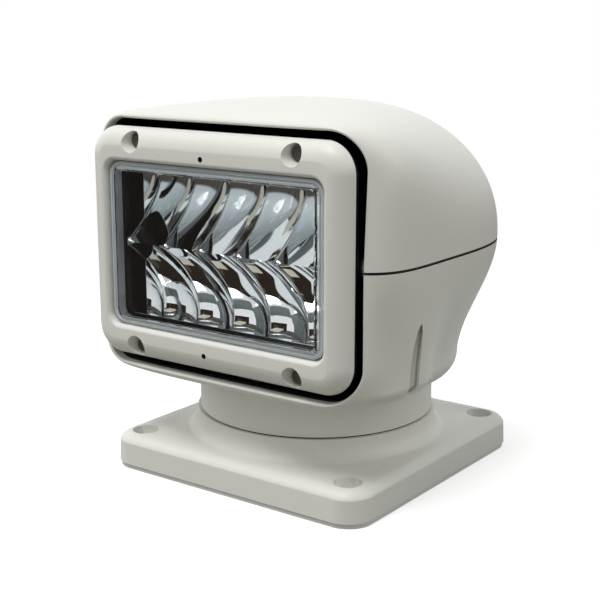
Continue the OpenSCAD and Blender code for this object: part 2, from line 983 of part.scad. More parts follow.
module tilt_pinion() {
    color(steel)
        translate([tilt_pinion_x, tilt_pinion_y, lamp_z])
            rotate([0, 90, 0])
                rotate([0, 0, -90 + 180 / pinion_teeth]) {
                    linear_extrude(pinion_t) gear_2d(pinion_teeth);
                    translate([0, 0, motor_plate_x - shaft_in - tilt_pinion_x])
                        cylinder(r = shaft_r, h = pinion_t + tilt_pinion_x - motor_plate_x + shaft_in);
                }
}

// Lamp unit

// Domed bezel whose face falls off to the edge, with the narrower ring behind it
module frame_blank() {
    r = frame_r;
    side = concat([[0, bezel_back], [r, bezel_back]],
        edge_arc(r - bezel_run, bezel_back, bezel_run, frame_front - bezel_back, 10),
        [[0, frame_front]]);
    rotate([90, 0, 0]) edged_slab(frame_w, frame_h, r, side);
    lamp_prism(frame_w - 2 * frame_step, frame_h - 2 * frame_step, r - frame_step,
        body_front, bezel_back + 1);
}

module window_cut() {
    r = window_r;
    side = concat([[0, 0], [r, 0], [r, lens_front]],
        [for (p = window_edge) [r + p[0], frame_front - p[1] + eps]],
        [[0, frame_front + eps]]);
    rotate([90, 0, 0]) edged_slab(window_w, window_h, r, side);
}

module frame_screw_places() {
    rotate([90, 0, 0]) corners(frame_screw_x, frame_screw_z) children();
}

module lamp_frame() {
    pocket = lens_flange + screw_gap * 5;
    color(ivory)
        at_tilt_axis()
            difference() {
                frame_blank();
                window_cut();
                lamp_prism(window_w + 2 * pocket, window_h + 2 * pocket, window_r + pocket,
                    0, lens_back + lens_flange_t);
                frame_screw_places() {
                    cylinder(r = screw_r + screw_gap, h = frame_front);
                    translate([0, 0, scoop_floor])
                        cylinder(r1 = scoop_r, r2 = scoop_r + scoop_flare,
                            h = frame_front - scoop_floor + 1);
                }
                for (z = [window_h / 2 + pin_hole_over, -window_h / 2 - pin_hole_under])
                    rotate([90, 0, 0])
                        translate([pin_hole_x, z, frame_front - pin_hole_d])
                            cylinder(r = pin_hole_r, h = pin_hole_d + 1, $fn = 24);
            }
}

module frame_screws() {
    color(steel)
        at_tilt_axis()
            frame_screw_places()
                translate([0, 0, scoop_floor]) screw(frame_screw_len);
}

module lens() {
    w = window_w - 2 * lens_gap;
    h = window_h - 2 * lens_gap;
    color([0.85, 0.9, 0.92, 0.35])
        at_tilt_axis()
            difference() {
                union() {
                    lamp_prism(w, h, window_r - lens_gap, lens_back, lens_front);
                    lamp_prism(w - 2 * lens_rim, h - 2 * lens_rim, lens_panel_r,
                        lens_front - eps, lens_front + lens_step);
                    lamp_prism(window_w + 2 * lens_flange, window_h + 2 * lens_flange,
                        window_r + lens_flange, lens_back, lens_back + lens_flange_t);
                }
                lamp_prism(w - 2 * lens_wall, h - 2 * lens_wall, window_r - lens_wall, 0,
                    lens_front - lens_t);
            }
}

module lens_gasket() {
    color(rubber)
        at_tilt_axis()
            difference() {
                lamp_prism(window_w + 2 * lens_flange, window_h + 2 * lens_flange,
                    window_r + lens_flange, body_front, lens_back);
                lamp_prism(window_w - 2 * gasket_lip, window_h - 2 * gasket_lip, window_r, 0, frame_front);
            }
}

// Shelf that carries a row of light sources, above or below the reflector
module led_shelf(s) {
    low = reflector_half_h + led_gap + led_board_t;
    top = body_h / 2 - body_wall + 1;
    translate([-field_w / 2 - 1, -led_board_front, s > 0 ? low : -top])
        cube([field_w + 2, led_board_d, top - low]);
}

module sector_screw_places() {
    for (z = [-sector_screw_z, sector_screw_z])
        translate([0, sector_screw_y, z]) rotate([0, 90, 0]) children();
}

module lamp_body() {
    flange_w = frame_w - 2 * frame_step;
    flange_h = frame_h - 2 * frame_step;
    color(black)
        at_tilt_axis()
            difference() {
                union() {
                    lamp_prism(body_w, body_h, body_r, body_back, body_front);
                    lamp_prism(flange_w, flange_h, frame_r - frame_step, body_front - body_flange_t,
                        body_front);
                    for (i = [0:fins - 1])
                        translate([mix(fin_margin - body_w / 2, body_w / 2 - fin_margin, i / (fins - 1))
                            - fin_t / 2, -body_back, fin_end - body_h / 2])
                            cube([fin_t, fin_depth, body_h - 2 * fin_end]);
                    for (side = [-1, 1])
                        rotate([0, side * 90, 0]) cylinder(r = pin_boss_r, h = sector_x);
                    sector_screw_places() cylinder(r = sector_boss_r, h = sector_x);
                    frame_screw_places()
                        translate([0, 0, frame_boss_back])
                            cylinder(r = frame_boss_r, h = body_front - frame_boss_back);
                }
                difference() {
                    lamp_prism(body_w - 2 * body_wall, body_h - 2 * body_wall, body_r - body_wall,
                        body_back + body_wall, body_front - body_flange_t);
                    for (s = [-1, 1])
                        led_shelf(s);
                }
                lamp_prism(window_w - 2 * body_mouth, window_h - 2 * body_mouth, window_r,
                    body_back + body_wall, frame_front);
                frame_screw_places() cylinder(r = screw_r + screw_gap, h = frame_front);
                for (side = [-1, 1])
                    rotate([0, side * 90, 0])
                        translate([0, 0, body_w / 2 - body_wall - 1])
                            cylinder(r = pin_r, h = body_wall + side_boss + 2);
                translate([body_w / 2 - body_wall + 1, 0, 0])
                    sector_screw_places() cylinder(r = screw_r - thread_bite, h = 2 * sector_boss_r);
            }
}

// Depth of a reflector cell in front of its vertex at distance r from its axis
function dish(r) = r * r / (4 * focus);

module cell_cut() {
    reach = reflector_half_h + cut_over;
    rotate_extrude()
        polygon(concat([[0, cut_top]],
            [for (i = [0:parabola_steps]) let (r = reach * i / parabola_steps) [r, dish(r)]],
            [[reach, cut_top]]));
}

// Trough that leaves a rib between neighbouring cells
module row_cut() {
    reach = reflector_half_h + cut_over;
    rib = dish(cell_pitch / 2 - cell_rib / 2);
    translate([-field_w / 2, 0, 0])
        rotate([90, 0, 90])
            linear_extrude(field_w)
                polygon(concat([[-reach, cut_top]],
                    [for (i = [-parabola_steps:parabola_steps])
                        let (r = reach * i / parabola_steps) [r, dish(r) + rib]],
                    [[reach, cut_top]]));
}

// Hollow behind the middle ridge, open at the back
module ridge_hollow() {
    foot = 0.62 * reflector_half_h;
    tip = min(reflector_front, vertex + dish(reflector_half_h)) - reflector_skin;
    translate([-field_w / 2, 0, 0])
        rotate([90, 0, 90])
            linear_extrude(field_w)
                polygon([[1 - reflector_back, -foot], [-tip, 0], [1 - reflector_back, foot]]);
}

function cell_x(i) = (i - (cells - 1) / 2) * cell_pitch;

module reflector() {
    color([0.85, 0.87, 0.9])
        at_tilt_axis()
            difference() {
                translate([-reflector_w / 2, -reflector_front, -reflector_half_h])
                    cube([reflector_w, reflector_front - reflector_back, 2 * reflector_half_h]);
                for (s = [-1, 1])
                    intersection() {
                        translate([0, -vertex, s * reflector_half_h])
                            rotate([90, 0, 0])
                                union() {
                                    row_cut();
                                    for (i = [0:cells - 1])
                                        translate([cell_x(i), 0, 0]) cell_cut();
                                }
                        translate([-field_w / 2, -cut_top, s > 0 ? 0 : -cut_top])
                            cube([field_w, 2 * cut_top, cut_top]);
                    }
                ridge_hollow();
            }
}

module led_boards() {
    color(board_green)
        at_tilt_axis()
            for (s = [-1, 1])
                translate([-field_w / 2, -led_board_front,
                    s * (reflector_half_h + led_gap + led_board_t / 2) - led_board_t / 2])
                    cube([field_w, led_board_d, led_board_t]);
}

module leds() {
    color([0.95, 0.85, 0.3])
        at_tilt_axis()
            for (s = [-1, 1], i = [0:cells - 1])
                translate([cell_x(i) - led_size / 2, -vertex - focus - led_size / 2,
                    s * (reflector_half_h + led_gap - led_t / 2) - led_t / 2])
                    cube([led_size, led_size, led_t]);
}

module trunnions() {
    color(steel)
        at_tilt_axis()
            for (side = [-1, 1])
                translate([side * (body_w / 2 - body_wall), 0, 0])
                    rotate([0, side * 90, 0]) cylinder(r = pin_r, h = pin_end - body_w / 2 + body_wall);
}

module sector_2d() {
    count = floor(sector_span / 360 * tilt_teeth);
    root_r = sector_r - 1.25 * gear_m;
    difference() {
        union() {
            polygon(concat([[0, 0]], [for (k = [-count:count]) each tooth_points(tilt_teeth, k)]));
            circle(pin_boss_r);
        }
        circle(pin_r + fit);
        for (z = [-sector_screw_z, sector_screw_z])
            translate([sector_screw_y, z]) circle(screw_r);
        for (s = [-1, 1])
            intersection() {
                difference() {
                    circle(root_r - sector_rim);
                    circle(sector_hub);
                }
                rotate([0, 0, s * sector_span * 0.4])
                    translate([sector_hub, -sector_hub / 4]) square([sector_r, sector_hub / 2]);
            }
    }
}

module tilt_sector() {
    color(acetal)
        at_tilt_axis()
            translate([sector_x, 0, 0])
                rotate([0, 90, 0])
                    rotate([0, 0, 90])
                        linear_extrude(sector_t) sector_2d();
}

module sector_screws() {
    color(steel)
        at_tilt_axis()
            translate([sector_x + sector_t, 0, 0])
                sector_screw_places()
                    screw(sector_screw_len, screw_r - thread_bite, screw_head_r - 0.6, 1.6);
}

base_plate();
base_cover();
base_cover_screws();
cable_grommet();
pan_post();
post_screws();
pan_gear();
thrust_washer();
post_nut();
slip_ring_body();
neck_seal();
turntable();
pan_bush();
turntable_screws();
lower_housing();
housing_gasket();
upper_cover();
cover_screws();
pan_motor();
post_cap();
slip_ring_rotor();
control_board();
board_posts();
motor_bracket();
tilt_motor();
tilt_brackets();
bracket_screws();
tilt_bushes();
pan_pinion();
tilt_pinion();
lamp_frame();
frame_screws();
lens();
lens_gasket();
lamp_body();
reflector();
led_boards();
leds();
trunnions();
tilt_sector();
sector_screws();
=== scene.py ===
import math

import bpy
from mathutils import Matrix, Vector


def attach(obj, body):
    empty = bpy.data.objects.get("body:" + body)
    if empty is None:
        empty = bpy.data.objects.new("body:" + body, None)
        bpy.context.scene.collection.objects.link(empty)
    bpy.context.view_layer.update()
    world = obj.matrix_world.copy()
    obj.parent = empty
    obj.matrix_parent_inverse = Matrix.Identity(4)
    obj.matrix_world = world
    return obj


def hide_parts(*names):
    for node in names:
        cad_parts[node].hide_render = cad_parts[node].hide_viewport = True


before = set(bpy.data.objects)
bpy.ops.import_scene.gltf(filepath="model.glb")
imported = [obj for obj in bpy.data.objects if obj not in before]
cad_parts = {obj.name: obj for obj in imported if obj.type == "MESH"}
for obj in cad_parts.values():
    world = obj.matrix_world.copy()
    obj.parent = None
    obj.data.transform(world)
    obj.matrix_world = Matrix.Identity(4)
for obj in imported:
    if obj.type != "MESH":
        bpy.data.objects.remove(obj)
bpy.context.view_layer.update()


# Foot: an off-white satin moulding with a rounded top edge and a flare up to the collar.
# Four counterbored holes take the deck screws. A thin plate screwed on below closes it
# and shows as the lip at the bottom edge.

class Wire:
    """A shader socket that sums can be written with."""

    def __init__(self, socket):
        self.socket = socket
        self.tree = socket.id_data

    def make(self, kind, settings=None, values=None, out=0):
        node = self.tree.nodes.new(kind)
        for name, value in (settings or {}).items():
            setattr(node, name, value)
        for name, value in (values or {}).items():
            if isinstance(value, Wire):
                self.tree.links.new(value.socket, node.inputs[name])
            else:
                node.inputs[name].default_value = value
        return Wire(node.outputs[out])

    def math(self, operation, first, second):
        return self.make("ShaderNodeMath", {"operation": operation}, {0: first, 1: second})

    def __add__(self, other):
        return self.math("ADD", self, other)

    __radd__ = __add__

    def __sub__(self, other):
        return self.math("SUBTRACT", self, other)

    def __rsub__(self, other):
        return self.math("SUBTRACT", other, self)

    def __mul__(self, other):
        return self.math("MULTIPLY", self, other)

    __rmul__ = __mul__

    def noise(self, scale, detail=2.0, roughness=0.5):
        return self.make("ShaderNodeTexNoise", None, {"Vector": self, "Scale": scale,
                                                      "Detail": detail, "Roughness": roughness})

    def stretched(self, scale):
        return self.make("ShaderNodeMapping", None, {"Vector": self, "Scale": scale})

    def between(self, low, high):
        return self.make("ShaderNodeMapRange", {"interpolation_type": "SMOOTHSTEP"},
                         {"Value": self, "From Min": low, "From Max": high})

    def colours(self, low, high):
        return self.make("ShaderNodeMix", {"data_type": "RGBA"}, {0: self, 6: low, 7: high}, out=2)

    def bump(self, strength, distance):
        return self.make("ShaderNodeBump", None,
                         {"Height": self, "Strength": strength, "Distance": distance})


def new_material(name, **constants):
    """A material, its shader and its object coordinates."""
    material = bpy.data.materials.new(name)
    material.use_nodes = True
    shader = material.node_tree.nodes["Principled BSDF"]
    for socket, value in constants.items():
        shader.inputs[socket.replace("_", " ")].default_value = value
    place = Wire(material.node_tree.nodes.new("ShaderNodeTexCoord").outputs["Object"])
    return material, shader, place


def plug(shader, **wires):
    for socket, wire in wires.items():
        wire.tree.links.new(wire.socket, shader.inputs[socket.replace("_", " ")])


def moulded_plastic(name, pale, deep, roughness, grain):
    """Satin plastic: soft clouds and fine specks in its colour, gloss and grain."""
    material, shader, place = new_material(name)
    cloud = place.noise(scale=7.0, detail=3.0)
    speck = place.noise(scale=2400.0, detail=2.0, roughness=0.6)
    cloud_part, speck_part = 0.10, 0.12
    smoothest = roughness - (cloud_part + speck_part) / 2
    plug(shader, Base_Color=(cloud * 0.7 + speck * 0.3).colours(deep, pale),
         Roughness=cloud * cloud_part + speck * speck_part + smoothest,
         Normal=speck.bump(strength=grain, distance=0.0001))
    return material


def only(piece):
    """Makes a piece the one that is selected and active."""
    bpy.ops.object.select_all(action="DESELECT")
    piece.select_set(True)
    bpy.context.view_layer.objects.active = piece
    return piece


def modify(piece, kind, **settings):
    modifier = only(piece).modifiers.new(kind.lower(), kind)
    for name, value in settings.items():
        setattr(modifier, name, value)
    bpy.ops.object.modifier_apply(modifier=modifier.name)


def weld(piece):
    only(piece)
    bpy.ops.object.mode_set(mode="EDIT")
    bpy.ops.mesh.select_all(action="SELECT")
    bpy.ops.mesh.remove_doubles(threshold=0.00001)
    bpy.ops.mesh.normals_make_consistent(inside=False)
    bpy.ops.object.mode_set(mode="OBJECT")


def smooth(piece, angle=30.0):
    only(piece)
    bpy.ops.object.shade_smooth_by_angle(angle=math.radians(angle))
    modify(piece, "WEIGHTED_NORMAL", keep_sharp=True)


def paint(piece, *materials):
    piece.data.materials.clear()
    for material in materials:
        piece.data.materials.append(material)


def dress(piece, body, *materials):
    paint(piece, *materials)
    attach(piece, body)


def skin(node, body, material):
    """A welded, smoothly shaded copy of a CAD node that stands for it."""
    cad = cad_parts[node]
    piece = cad.copy()
    piece.data = cad.data.copy()
    piece.name = node + "_skin"
    bpy.context.scene.collection.objects.link(piece)
    weld(piece)
    smooth(piece)
    dress(piece, body, material)
    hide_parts(node)
    return piece


def share(t):
    return min(1.0, max(0.0, t))


def ease(t):
    t = share(t)
    return t * t * (3 - 2 * t)


def mix(a, b, t):
    return a + (b - a) * t


def stages(t, *lengths):
    """How far t is through each of a row of stages, from 0 to 1."""
    starts = [sum(lengths[:i]) for i in range(len(lengths))]
    return [share((t - start) / length) for start, length in zip(starts, lengths)]


def shaped_grid(name, across, along, form):
    """A grid whose every point is put where form sends its place from 0 to 1."""
    bpy.ops.object.select_all(action="DESELECT")
    bpy.ops.mesh.primitive_grid_add(x_subdivisions=across, y_subdivisions=along, size=1)
    piece = bpy.context.object
    piece.name = name
    for vertex in piece.data.vertices:
        vertex.co = form(vertex.co.x + 0.5, vertex.co.y + 0.5)
    return piece


def outline(u, width, height, radius):
    """Point and outward direction on a rounded rectangle, round it from 0 to 1."""
    quarter = min(3, int(u * 4))
    sx, sz = ((1, 1), (-1, 1), (-1, -1), (1, -1))[quarter]
    a, b = width / 2 - radius, height / 2 - radius
    first, corner, last = stages(u * 4 - quarter, 0.2, 0.6, 0.2)
    turn = math.pi / 2 * corner
    if quarter % 2:
        x, z = a * first, b * (1 - last)
        nx, nz = math.sin(turn), math.cos(turn)
    else:
        x, z = a * (1 - last), b * first
        nx, nz = math.cos(turn), math.sin(turn)
    return sx * (x + radius * nx), sz * (z + radius * nz), sx * nx, sz * nz


ivory = moulded_plastic("ivory_moulding", pale=(0.82, 0.82, 0.77, 1), deep=(0.76, 0.76, 0.705, 1),
                        roughness=0.44, grain=0.12)

FOOT_SIDE, FOOT_TOP, FOOT_CORNER, FOOT_EDGE = 0.179, 0.0205, 0.016, 0.008
# The envelope starts below the foot, stands off its walls, then steps clear of the flat top.
START_BELOW, STAND_OFF, STEP_IN, STEP_UP, RISE = 0.001, 0.0002, 0.003, 0.0008, 0.02


def softer_edge(u, v):
    """Envelope of the foot: its outline with a large rounding at the top edge."""
    wall, rounding, step, rise, _ = stages(v, 0.2, 0.5, 0.1, 0.1, 0.1)
    turn = math.pi / 2 * rounding
    by = FOOT_EDGE * (1 - math.cos(turn)) + STEP_IN * ease(step)
    z = mix(-START_BELOW, FOOT_TOP - FOOT_EDGE, ease(wall)) + FOOT_EDGE * math.sin(turn)
    z += STEP_UP * ease(step) + RISE * ease(rise)
    side = FOOT_SIDE + STAND_OFF
    x, y, nx, ny = outline(u, side, side, FOOT_CORNER)
    closed_end = v < 0.01 or v > 0.99
    return (0, 0, z) if closed_end else (x - by * nx, y - by * ny, z)


foot = skin("base_plate", "base", ivory)
envelope = shaped_grid("envelope", 200, 30, softer_edge)
weld(envelope)
modify(foot, "BOOLEAN", operation="INTERSECT", object=envelope, solver="EXACT")
bpy.data.objects.remove(envelope)
smooth(foot)
skin("base_cover", "base", ivory)


# Head shells: two off-white satin mouldings that meet at a seam. The upper one is a cover with
# an arched section, the lower one turns under into the round neck. Screws in the lower one's
# four pointed wells go up into the cover.

HALF_WIDTH, SEAM, CROWN, WALL = 0.106, 0.139, 0.079, 0.0026
FRONT, WIDEST, REAR = -0.0948, -0.02075, 0.0817
FRONT_FULLNESS, REAR_FULLNESS = 5.5, 3.1
LEAN, LEAN_DEPTH = 0.055, 0.06
SEAM_HALF_GAP, SEAM_INSET = 0.0007, 0.0012
OPEN_WIDTH, OPEN_HEIGHT, OPEN_CORNER, OPEN_Z = 0.1808, 0.140, 0.0205, 0.1387
RIM, RIM_DEPTH, RIM_BLEND = 0.0085, 0.010, 0.012


def root(value, power):
    """Turns a sine or cosine into that of a superellipse."""
    return math.copysign(abs(value) ** (2 / power), value)


def bulge(along, power):
    """Height of a superellipse at a share of its length."""
    return max(0.0, 1 - share(along) ** power) ** (1 / power)


def front_rim(x, y, z):
    """Brings the front forward round the lamp opening, so that its edge lies even."""
    dx = abs(x) - OPEN_WIDTH / 2 + OPEN_CORNER
    dz = abs(z - OPEN_Z) - OPEN_HEIGHT / 2 + OPEN_CORNER
    beyond = math.hypot(max(dx, 0.0), max(dz, 0.0)) - OPEN_CORNER
    even = WIDEST - (WIDEST - FRONT) * bulge(abs(x) / HALF_WIDTH, FRONT_FULLNESS)
    even += LEAN * max(0.0, z - SEAM)
    keep = max(ease(beyond / RIM), ease((y - even - RIM_DEPTH) / RIM_BLEND))
    return x, mix(min(y, even), y, keep), z


CREST, CREST_SAG, FRONT_EDGE, BACK_SLOPE = -0.0063, 0.8, 20, 2.41
FRONT_START, SEAM_STRIP = 0.0002, 0.015
ARCH_FRONT, ARCH_REAR, ARCH_CHANGE, ARCH_BOXIER, ARCH_FADE = 5.2, 2.04, 0.348, 3.8, 0.173


def arch_power(along):
    """Superellipse power of the cover's arch: boxy in front, nearly round at the rear."""
    boxier = ARCH_BOXIER * math.exp(-along / ARCH_FADE)
    return mix(ARCH_FRONT, ARCH_REAR, along ** ARCH_CHANGE) + boxier


def cover_form(u, v):
    y = mix(FRONT + FRONT_START, REAR, 0.5 - 0.5 * math.cos(math.pi * v))
    to_front = (WIDEST - y) / (WIDEST - FRONT)
    if y < WIDEST:
        width = HALF_WIDTH * bulge(to_front, FRONT_FULLNESS)
    else:
        width = HALF_WIDTH * bulge((y - WIDEST) / (REAR - WIDEST), REAR_FULLNESS)
    if y < CREST:
        height = (CROWN - CREST_SAG * (y - CREST) ** 2) * bulge(to_front, FRONT_EDGE)
    else:
        height = CROWN * bulge((y - CREST) / (REAR - CREST), BACK_SLOPE)
    height = max(height, SEAM_HALF_GAP)
    power = arch_power((y - FRONT) / (REAR - FRONT))
    angle = math.pi * share((u - SEAM_STRIP) / (1 - 2 * SEAM_STRIP))
    closer_at_ends = math.pi / 2 * (1 - math.cos(angle))
    angle = mix(angle, closer_at_ends, share((power - 2) / 4))
    x = width * root(math.cos(angle), power)
    z = SEAM_HALF_GAP + (height - SEAM_HALF_GAP) * root(math.sin(angle), power)
    y += LEAN * z * (1 - ease((y - FRONT) / LEAN_DEPTH))
    x, y, z = front_rim(x, y, SEAM + z)
    if min(u, 1 - u) < SEAM_STRIP / 2:
        x *= 1 - SEAM_INSET / max(width, 0.01)
    return x, y, z


NECK_RADIUS, NECK_BOTTOM = 0.0703, 0.0343
# Where the lower wall starts to turn under: its heights, the drop of the turn, its half widths
# and its rear.
TURN_FRONT_Z, TURN_REAR_Z, TURN_FRONT_DROP, TURN_REAR_DROP = 0.074, 0.0707, 0.014, 0.0148
TURN_HALF, TURN_FRONT_HALF, TURN_REAR = 0.0865, 0.0994, 0.080
TAPER_LOW, TAPER_REACH = 0.0697, 1.034 * (SEAM - TURN_REAR_Z)
FRONT_BLEND_START, FRONT_BLEND = 0.002, 0.04
LOWER_STAGES, LOWER_STRIP, LOWER_SEAM_INSET = (1, 1, 0.7), 0.02, 0.989


def lower_form(u, v):
    below_strip = (v - LOWER_STRIP) / (1 - LOWER_STRIP)
    down, under, drop = stages(sum(LOWER_STAGES) * below_strip, *LOWER_STAGES)
    turn = math.pi / 2 * under
    curl, fall = 1 - math.cos(turn), math.sin(turn)
    z_front = mix(mix(SEAM, TURN_FRONT_Z, down) - TURN_FRONT_DROP * fall, NECK_BOTTOM, drop)
    z_rear = mix(mix(SEAM, TURN_REAR_Z, down) - TURN_REAR_DROP * fall, NECK_BOTTOM, drop)
    taper = ease((z_rear - TAPER_LOW) / TAPER_REACH)
    width = mix(mix(TURN_HALF, HALF_WIDTH, taper), NECK_RADIUS, curl)
    front_width = mix(mix(TURN_FRONT_HALF, HALF_WIDTH, taper), NECK_RADIUS, curl)
    y_front = mix(FRONT, -NECK_RADIUS, curl)
    y_rear = mix(mix(TURN_REAR, REAR, taper), NECK_RADIUS, curl)
    middle = WIDEST * taper
    quarter = min(3, int(u * 4))
    closer_at_ends = 1 - math.cos(4 * math.pi * u - math.pi * quarter)
    angle = math.pi / 2 * quarter + math.pi / 4 * closer_at_ends
    c, s = math.cos(angle), math.sin(angle)
    power = mix(FRONT_FULLNESS, 2, curl) if s < 0 else mix(2, REAR_FULLNESS, taper)
    y = middle + ((y_front if s < 0 else y_rear) - middle) * abs(s) ** (2 / power)
    front = ease((-y - FRONT_BLEND_START) / FRONT_BLEND)
    x = mix(width, front_width, front) * root(c, power)
    z = mix(z_rear, z_front, front)
    at_seam, turned_in = v < LOWER_STRIP + 0.001, v < LOWER_STRIP / 2
    if at_seam:
        z = SEAM - SEAM_HALF_GAP
    x, y, z = front_rim(x, y, z)
    if turned_in:
        x, y = x * LOWER_SEAM_INSET, y * LOWER_SEAM_INSET
    return x, y, z


def cutter(width, height, radius, near, far):
    """Prism along Y for cutting an opening."""
    def form(u, v):
        x, z, *_ = outline(u, width, height, radius)
        spread = 0 if v < 0.2 or v > 0.8 else 1
        return x * spread, near if v < 0.5 else far, OPEN_Z + z * spread

    block = shaped_grid("cutter", 160, 3, form)
    weld(block)
    return block


def carve(piece, tool, **options):
    modify(piece, "BOOLEAN", operation="DIFFERENCE", object=tool, solver="EXACT", **options)
    bpy.data.objects.remove(tool)


def round_tool(x, y, low, high, radius, tip):
    """Upright round tool, the same all the way or drawn to a tip."""
    bpy.ops.object.select_all(action="DESELECT")
    bpy.ops.mesh.primitive_cone_add(vertices=64, radius1=radius, radius2=tip, depth=high - low,
                                    location=(x, y, (low + high) / 2))
    bpy.ops.object.transform_apply(location=True)
    return bpy.context.object


# Painted shade: near-black for the insides of the ivory shells, the lip's inner wall, the seam
# faces and the bezel's pin holes, where shade falls in the gaps.
painted_shade, shader, place = new_material("painted_shade_black", Roughness=0.85)
cloud = place.noise(scale=400.0)
plug(shader, Base_Color=cloud.colours((0.004, 0.004, 0.004, 1), (0.009, 0.009, 0.009, 1)))

LIP, LIP_WALL, LIP_ACROSS, LIP_ALONG, LIP_PALE_ROWS = 0.0012, 0.009, 160, 10, 8
CLEAR_OF_SEAM, RAY_START = 0.002, -0.3


def opening_lip(name, shell, side):
    """Strip that turns in from the shell's front, ivory on the rounding and painted shade on the
    wall.
    """
    def form(u, v):
        u = mix(0.0, 0.5, u) if side > 0 else mix(0.5, 1.0, u)
        x, z, nx, nz = outline(u, OPEN_WIDTH, OPEN_HEIGHT, OPEN_CORNER)
        above_seam = side * max(side * (OPEN_Z + z - SEAM), SEAM_HALF_GAP)
        ray_above_seam = side * max(side * (above_seam + LIP * nz), CLEAR_OF_SEAM)
        ray_start = (x + LIP * nx, RAY_START, SEAM + ray_above_seam)
        hit, point, *_ = shell.ray_cast(ray_start, (0, 1, 0))
        y = point.y if hit else FRONT
        rounding, wall = stages(v, 0.6, 0.4)
        turn = math.pi / 2 * rounding
        out = LIP * (1 - math.sin(turn))
        deep = LIP * (1 - math.cos(turn)) + LIP_WALL * wall
        return x + out * nx, y + deep, SEAM + above_seam + out * nz

    lip = shaped_grid(name, LIP_ACROSS, LIP_ALONG, form)
    paint(lip, ivory, painted_shade)
    # Rows past the rounding take painted shade for the dark inside of the opening.
    for face in lip.data.polygons:
        face.material_index = 0 if face.index // LIP_ACROSS < LIP_PALE_ROWS else 1
    return lip


WELLS = (0.098, -0.049), (-0.098, -0.049), (0.062, 0.0588), (-0.062, 0.0588)
WELL_RADIUS, WELL_START, WELL_END, WELL_OVERLAP = 0.0045, 0.030, 0.112, 0.0001
WELL_POINT, WELL_POINT_RADIUS = 0.1155, 0.0003
COLUMN_RADIUS, COLUMN_START, COLUMN_END, COLUMN_FIT = 0.0075, 0.040, 0.118, 0.986
SHELL_SMOOTH = 35


def sink_well(piece, x, y):
    """Bores a well up into a piece, with a pointed end."""
    carve(piece, round_tool(x, y, WELL_START, WELL_END, WELL_RADIUS, WELL_RADIUS))
    carve(piece, round_tool(x, y, WELL_END - WELL_OVERLAP, WELL_POINT, WELL_RADIUS,
                            WELL_POINT_RADIUS))


def wall_the_wells(shell):
    """Columns round the wells, kept inside a slightly narrower filled copy of the shell."""
    inside = shell.copy()
    inside.data = shell.data.copy()
    bpy.context.scene.collection.objects.link(inside)
    only(inside)
    bpy.ops.object.mode_set(mode="EDIT")
    bpy.ops.mesh.select_all(action="SELECT")
    bpy.ops.mesh.fill_holes(sides=0)
    bpy.ops.mesh.normals_make_consistent(inside=False)
    bpy.ops.object.mode_set(mode="OBJECT")
    inside.scale = (COLUMN_FIT, COLUMN_FIT, 1)
    bpy.ops.object.transform_apply(scale=True)
    for i, (x, y) in enumerate(WELLS):
        column = round_tool(x, y, COLUMN_START, COLUMN_END, COLUMN_RADIUS, COLUMN_RADIUS)
        modify(column, "BOOLEAN", operation="INTERSECT", object=inside, solver="EXACT")
        sink_well(column, x, y)
        column.name = "screw_well_%d" % i
        smooth(column, SHELL_SMOOTH)
        dress(column, "head", ivory)
    bpy.data.objects.remove(inside)


CUT_NEAR, CUT_FAR = -0.13, -0.055
SEAM_FACE_REACH = 0.0009

for node, across, along, form, side in (("upper_cover", 150, 110, cover_form, 1),
                                        ("lower_housing", 288, 96, lower_form, -1)):
    shell = shaped_grid(node + "_shell", across, along, form)
    weld(shell)
    lip = opening_lip(node + "_lip", shell, side)
    if side < 0:
        wall_the_wells(shell)
    # Painted shade: the inner side and rims take the near-black slot for the shade inside the head;
    # the moulding itself is ivory.
    paint(shell, ivory, painted_shade)
    modify(shell, "SOLIDIFY", thickness=WALL, offset=-1, use_rim=True, material_offset=1)
    carve(shell, cutter(OPEN_WIDTH + 2 * LIP, OPEN_HEIGHT + 2 * LIP, OPEN_CORNER + LIP,
                        CUT_NEAR, CUT_FAR))
    if side < 0:
        for x, y in WELLS:
            sink_well(shell, x, y)
    for piece in (shell, lip):
        smooth(piece, SHELL_SMOOTH)
        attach(piece, "head")
    # Faces at the seam get painted shade too, for the dark line of shade between the shells.
    for face in shell.data.polygons:
        if abs(face.center.z - SEAM) < SEAM_FACE_REACH and abs(face.normal.z) > 0.8:
            face.material_index = 1
    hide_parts(node)


# Lamp bezel: an off-white moulding with a domed face, held by four screws in round scoops.
# Its narrower ring behind, which holds the window, stays hidden in the gap. Two pin holes
# let air through, one above and one below the window.

TILT_Y, TILT_Z = -0.070, 0.139


def rings(name, across, places, closed=True):
    """A swept piece: each place is width, height, corner radius, spread and depth in front."""
    rows = places + places[:1] if closed else places

    def form(u, v):
        width, height, radius, spread, front = rows[round(v * (len(rows) - 1))]
        x, z, *_ = outline(u, width, height, radius)
        return x * spread, TILT_Y - front, TILT_Z + z * spread

    piece = shaped_grid(name, across, len(rows) - 1, form)
    weld(piece)
    return piece


SMALLEST_CORNER = 0.0005


def inset(width, height, radius, by, front):
    """A place for rings, in from an outline by a distance."""
    return width - 2 * by, height - 2 * by, max(SMALLEST_CORNER, radius - by), 1, front


# Width, height and corner radius of the window's hole and of the bezel.
WINDOW = (0.149, 0.094, 0.007)
BEZEL = (0.176, 0.131, 0.017)
LEDGE, BACK, BEZEL_FOOT = 0.019, 0.0165, 0.0200
EDGE_FOOT, EDGE_OUT, EDGE_UP, EDGE_STEPS = 0.0270, 0.0024, 0.0028, 7
DOME_FOOT, DOME_IN, DOME_UP, DOME_STEPS = 0.0202, 0.013, 0.0098, 16
DOME_TURN = math.pi / 2 * 0.88
RING_IN, RING_WIDER, UNDERCUT, FOOT_IN = 0.0035, 0.005, 0.0001, 0.0003

